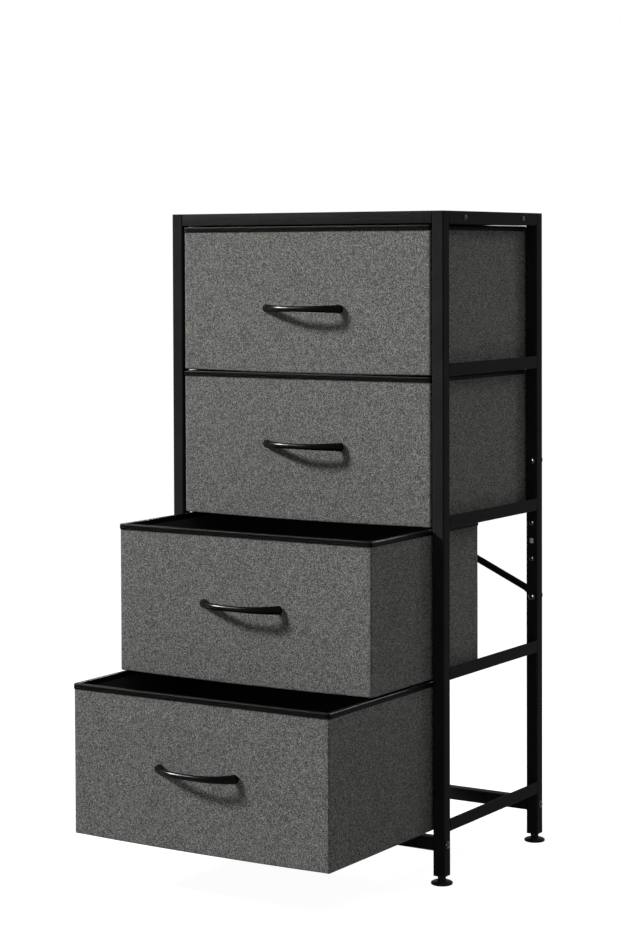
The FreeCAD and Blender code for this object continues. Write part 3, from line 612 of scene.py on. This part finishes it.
def lay_weave(shape, low):
    """Cloth coordinates in metres: round the drawer from the middle of its front, and up it."""
    sheet = shape.loops.layers.uv.new("weave")
    for face in shape.faces:
        side = math.copysign(1, face.calc_center_median().x)
        for loop in face.loops:
            x, y, z = loop.vert.co
            if abs(face.normal.z) > 0.7:
                loop[sheet].uv = (x, low.z - (y - low.y))
            elif face.normal.y > 0.7:
                loop[sheet].uv = (-x, z)
            else:
                loop[sheet].uv = (x + side * (y - low.y), z)


def soften(shape, depth, length, seed):
    """Lets a boarded cloth wall sink in slow waves, by up to a given depth."""
    bmesh.ops.recalc_face_normals(shape, faces=shape.faces)
    shape.normal_update()
    for vert in shape.verts:
        push = 0.5 + 0.5 * noise.noise(vert.co / length + Vector((seed, seed, 0)))
        vert.co -= vert.normal * depth * push


def let_sag(shape, low):
    """Lets the cloth floor hang a little between the rails, with the foot of the walls."""
    for vert in shape.verts:
        between = max(0, 1 - (vert.co.x / SAG_SPAN) ** 2)
        down = max(0, 1 - (vert.co.z - low.z) / SAG_TALL) ** 2
        vert.co.z -= SAG * between * down


def add_thickness(piece, thickness):
    """Gives a one-sided skin its thickness, inwards."""
    thick = piece.modifiers.new("thickness", "SOLIDIFY")
    thick.thickness = thickness
    thick.offset = -1


linen_cloth = linen()
lining_cloth = non_woven()
drawers = ("drawer_1", "drawer_2", "drawer_3", "drawer_4")
for seed, drawer in enumerate(drawers):
    low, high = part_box(drawer + "_fabric_body")
    top = high.z
    rows = round((top - low.z - HEM) / CELL)
    section = [(0, top - (top - low.z - HEM) * i / rows) for i in range(rows + 1)]
    for i in range(1, HEM_STEPS + 1):
        a = math.radians(90 * i / HEM_STEPS)
        section.append((HEM * (1 - math.cos(a)), low.z + HEM * (1 - math.sin(a))))
    section.append((HEM + CELL, low.z))
    shape = bmesh.new()
    loops = walls_through(shape, low, high, section)
    bmesh.ops.edgeloop_fill(shape, edges=loops[-1])
    finer(shape, CELL)
    soften(shape, WAVE_DEEP, WAVE_LONG, 10 * seed)
    let_sag(shape, low)
    lay_weave(shape, low)
    outside = as_piece(shape, drawer + "_outer_cloth", drawer, linen_cloth, "drawer_fabric",
                       drawer + "_fabric_body")
    add_thickness(outside, CLOTH)

    floor_z = low.z + BASE_UNDER - LINING
    rows = round((top - floor_z) / CELL)
    section = [(WALL - LINING, top - (top - floor_z) * i / rows) for i in range(rows + 1)]
    section.append((WALL + CELL, floor_z))
    shape = bmesh.new()
    loops = walls_through(shape, low, high, section)
    bmesh.ops.edgeloop_fill(shape, edges=loops[-1])
    finer(shape, CELL)
    lay_weave(shape, low)
    inside = as_piece(shape, drawer + "_lining", drawer, lining_cloth, "binding_black")
    add_thickness(inside, LINING)


# ---- drawers: boards --------------------------------------------------------------------------
# Grey chipboard cut to size for the four wall pockets, and a loose base board wrapped in the same
# non-woven as the lining.
CHIP_DARK = (0.16, 0.13, 0.10)
CHIP_LIGHT = (0.30, 0.26, 0.21)
CHIP = 4 * MM
BASE_EDGE = 0.8 * MM
BASE_CELL = 12 * CELL


def chipboard():
    board, tree, shader = new_finish("grey_chipboard")
    chips = node(tree, "TexVoronoi", {"Vector": node(tree, "TexCoord").outputs["Object"],
                                      "Scale": 1 / CHIP}).outputs["Distance"]
    fibre = grain(tree, 2 * MM, detail=5, rough=0.7)
    both = number(tree, "MULTIPLY", chips, fibre)
    colour_by(tree, shader, both, (0.1, CHIP_DARK), (0.5, CHIP_LIGHT))
    shader.inputs["Roughness"].default_value = 0.9
    relief(tree, shader, both, 0.1 * MM, 0.5)
    return board


set_finish([drawer + "_stiffeners" for drawer in drawers], chipboard())
for drawer in drawers:
    low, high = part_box(drawer + "_base_board")
    shape = bmesh.new()
    add_block(shape, low, high)
    finer(shape, BASE_CELL)
    soft_edges(shape, [e for e in shape.edges if e.calc_face_angle(0) > SHARP], BASE_EDGE, 3)
    shape.normal_update()
    lay_weave(shape, low)
    as_piece(shape, drawer + "_base", drawer, lining_cloth, "base_board_black", drawer + "_base_board")


# ---- drawers: edge tape -----------------------------------------------------------------------
# Black woven tape folded over the top edge of all four walls and sewn through with one row of
# lockstitches, so that a line of them shows inside and outside.
# The tape's section in mm: how far inside the wall's outer face, and how far above the top edge.
TAPE_SECTION = ((-0.9, -7.5), (-0.96, -5.0), (-0.92, -2.2), (-0.62, -0.9), (0.1, -0.22),
                (1.2, -0.04), (2.5, 0.0), (3.8, -0.04), (4.9, -0.22), (5.6, -0.9), (5.9, -2.2),
                (5.96, -5.0), (5.9, -7.5), (5.15, -7.5), (5.1, -1.2), (2.5, -0.85), (-0.1, -1.2),
                (-0.15, -7.5))
TAPE_CELL = 2 * CELL
SEAM_INSETS = (-0.9 * MM, 5.9 * MM)             # the tape's outer and inner face at the seam
TAPE_BLACK = (0.0030, 0.0030, 0.0032)
TAPE_GREY = (0.0075, 0.0075, 0.0075)
RIB = 0.9 * MM
RIB_DEEP = 0.12 * MM
STITCH = 3.0 * MM
STITCH_GAP = 0.8 * MM
STITCH_THICK = 0.22 * MM
TWIST = 0.35 * MM                               # from one turn of the sewing thread to the next
TWIST_DEEP = 0.04 * MM
TAPE_TALL = 7.5 * MM
STITCH_UP = 1.9 * MM                            # above the tape's lower edge
THREAD_BLACK = (0.014, 0.014, 0.015)
THREAD_GREY = (0.035, 0.035, 0.036)


def woven_tape(name, low_shade, high_shade, rib, deep):
    """Ribbed black weave, also used for sewing thread at a finer size."""
    tape, tree, shader = new_finish(name)
    place = node(tree, "TexCoord").outputs["Object"]
    split = node(tree, "SeparateXYZ", {"Vector": place})
    level = number(tree, "ADD", split.outputs["X"], split.outputs["Y"])
    slant = number(tree, "ADD", level, split.outputs["Z"])
    ribs = crown(tree, number(tree, "DIVIDE", slant, rib))
    fuzz = grain(tree, 0.7 * MM, detail=3)
    height = number(tree, "ADD", number(tree, "MULTIPLY", ribs, 0.6), number(tree, "MULTIPLY", fuzz, 0.4))
    colour_by(tree, shader, height, (0.2, low_shade), (0.8, high_shade))
    shader.inputs["Roughness"].default_value = 0.28
    shader.inputs["Specular IOR Level"].default_value = 0.009
    relief(tree, shader, height, deep, 0.8)
    return tape


tape_cloth = woven_tape("woven_edge_tape", TAPE_BLACK, TAPE_GREY, RIB, RIB_DEEP)
thread = woven_tape("sewing_thread", THREAD_BLACK, THREAD_GREY, TWIST, TWIST_DEEP)
for drawer in drawers:
    low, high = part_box(drawer + "_fabric_body")
    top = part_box(drawer + "_binding")[1].z
    shape = bmesh.new()
    loops = [wall_loop(shape, low, high, inset * MM, top + up * MM) for inset, up in TAPE_SECTION]
    for a, b in zip(loops, loops[1:] + loops[:1]):
        skin_between(shape, a, b)
    finer(shape, TAPE_CELL)
    tape = as_piece(shape, drawer + "_edge_tape", drawer, tape_cloth, "binding_black",
                    drawer + "_binding", sharp=math.radians(60))
    shiny_pieces.objects.link(tape)
    edge_tapes.objects.link(tape)

    shape = bmesh.new()
    seam_z = top - TAPE_TALL + STITCH_UP
    for inset in SEAM_INSETS:
        x0, x1, y0, y1 = low.x + inset, high.x - inset, low.y + inset, high.y - inset
        corner = max(WALL_CORNER - inset, LEAST_CORNER)
        for axis, first, last, sides in ((0, x0 + corner, x1 - corner, (y0, y1)),
                                         (1, y0 + corner, y1 - corner, (x0, x1))):
            count = int((last - first) / (STITCH + STITCH_GAP))
            for side in sides:
                for i in range(count):
                    along = first + (last - first) * (i + 0.5) / count
                    at = (along, side, seam_z) if axis == 0 else (side, along, seam_z)
                    half = [STITCH_THICK, STITCH_THICK, STITCH_THICK]
                    half[axis] = STITCH / 2
                    fit = Matrix.Translation(at) @ Matrix.Diagonal((*half, 1))
                    bmesh.ops.create_icosphere(shape, subdivisions=1, radius=1, matrix=fit)
    as_piece(shape, drawer + "_edge_stitches", drawer, thread, "binding_black", sharp=math.pi)


# ---- drawers: bow handles ---------------------------------------------------------------------
# Cast zinc bow handles, lacquered in a smooth satin black. The bow runs thin in its middle and
# swells into a round foot at each end; two screws hold it from inside the front wall.
PULL_PITCH = 120 * MM
PULL_RISE = 21 * MM
PULL_BEND = 3                                   # power of the bow's curve: flatter than a parabola
PULL_ROOT = 3.5 * MM                            # centre line of the bow at a foot, off the cloth
PULL_MIDDLE = (8.4 * MM, 7.2 * MM)              # height and depth of the section
PULL_END = (12.2 * MM, 7.4 * MM)
PULL_FOOT = 6.2 * MM                            # radius of a foot
PULL_FOOT_DEEP = 7.5 * MM                       # from the cloth to the top of its dome
PULL_NECK = 0.96                                # of its radius, where the foot tapers to the dome
PULL_RINGS = 28
PULL_SIDES = 24
PULL_VOXEL = 0.75 * MM
POLISH = 0.6
POLISH_ROUNDS = 14
LACQUER_BLACK = (0.0015, 0.0015, 0.0016)
LACQUER_GREY = (0.0026, 0.0026, 0.0027)
SCREW_GREY = (0.20, 0.20, 0.20)
SCREW_BRIGHT = (0.42, 0.41, 0.39)


def lacquer():
    paint, tree, shader = new_finish("satin_lacquer")
    colour_by(tree, shader, grain(tree, 9 * MM), (0.35, LACQUER_BLACK), (0.65, LACQUER_GREY))
    roughness_by(tree, shader, grain(tree, 4 * MM), 0.20, 0.26)
    shader.inputs["Specular IOR Level"].default_value = 0.038
    relief(tree, shader, grain(tree, 1.5 * MM, detail=1), 0.01 * MM, 0.5)
    return paint


def plated_screw():
    steel, tree, shader = new_finish("plated_screw")
    colour_by(tree, shader, grain(tree, 1.5 * MM), (0.4, SCREW_GREY), (0.7, SCREW_BRIGHT))
    shader.inputs["Metallic"].default_value = 1.0
    shader.inputs["Roughness"].default_value = 0.36
    return steel


reach = PULL_PITCH / 2
shape = bmesh.new()
rings = []
for i in range(PULL_RINGS + 1):
    share = 2 * i / PULL_RINGS - 1
    rise = PULL_RISE * (1 - abs(share) ** PULL_BEND)
    a = math.atan(PULL_BEND * PULL_RISE / reach * math.copysign(abs(share) ** (PULL_BEND - 1), share))
    spot = Vector((reach * share, -PULL_ROOT - rise, 0))
    tall, deep = (m + (e - m) * share ** 2 for m, e in zip(PULL_MIDDLE, PULL_END))
    fit = (Matrix.Translation(spot) @ Matrix.Rotation(a, 4, "Z") @ Matrix.Rotation(math.pi / 2, 4, "Y")
           @ Matrix.Diagonal((tall / 2, deep / 2, 1, 1)))
    ring = bmesh.ops.create_circle(shape, cap_ends=False, segments=PULL_SIDES, radius=1, matrix=fit)
    rings.append(edges_of(ring["verts"]))
for a, b in zip(rings, rings[1:]):
    bmesh.ops.bridge_loops(shape, edges=a + b)
for ring in (rings[0], rings[-1]):
    bmesh.ops.edgeloop_fill(shape, edges=ring)
for side in (-1, 1):
    dome = (Matrix.Translation((side * reach, -PULL_FOOT_DEEP / 2, 0))
            @ Matrix.Diagonal((1, PULL_FOOT_DEEP / 2 / PULL_FOOT, 1, 1)))
    bmesh.ops.create_uvsphere(shape, u_segments=32, v_segments=20, radius=PULL_FOOT, matrix=dome)
    neck = bmesh.ops.create_cone(shape, cap_ends=True, segments=32, radius1=PULL_FOOT,
                                 radius2=PULL_FOOT * PULL_NECK, depth=PULL_FOOT_DEEP / 2)["verts"]
    bmesh.ops.rotate(shape, verts=neck, cent=(0, 0, 0), matrix=Matrix.Rotation(math.pi / 2, 3, "X"))
    moved_verts(shape, neck, (side * reach, -PULL_FOOT_DEEP / 4, 0))
bmesh.ops.recalc_face_normals(shape, faces=shape.faces)
rough_mesh = bpy.data.meshes.new("pull_casting")
shape.to_mesh(rough_mesh)
shape.free()
casting = bpy.data.objects.new("pull_casting", rough_mesh)
bpy.context.scene.collection.objects.link(casting)
fused = casting.modifiers.new("fused", "REMESH")
fused.mode = "VOXEL"
fused.voxel_size = PULL_VOXEL
polished = casting.modifiers.new("polished", "SMOOTH")
polished.factor = POLISH
polished.iterations = POLISH_ROUNDS
bpy.context.view_layer.update()
graph = bpy.context.evaluated_depsgraph_get()
pull_mesh = bpy.data.meshes.new_from_object(casting.evaluated_get(graph))
bpy.data.objects.remove(casting)

satin_lacquer = lacquer()
screw_steel = plated_screw()
for drawer in drawers:
    low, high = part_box(drawer + "_handle")
    shape = bmesh.new()
    shape.from_mesh(pull_mesh)
    moved_verts(shape, shape.verts, (0, high.y, (low.z + high.z) / 2))
    pull = as_piece(shape, drawer + "_pull", drawer, satin_lacquer, "handle_black", drawer + "_handle",
                    sharp=math.pi)
    shiny_pieces.objects.link(pull)
    set_finish([drawer + "_handle_screws"], screw_steel)
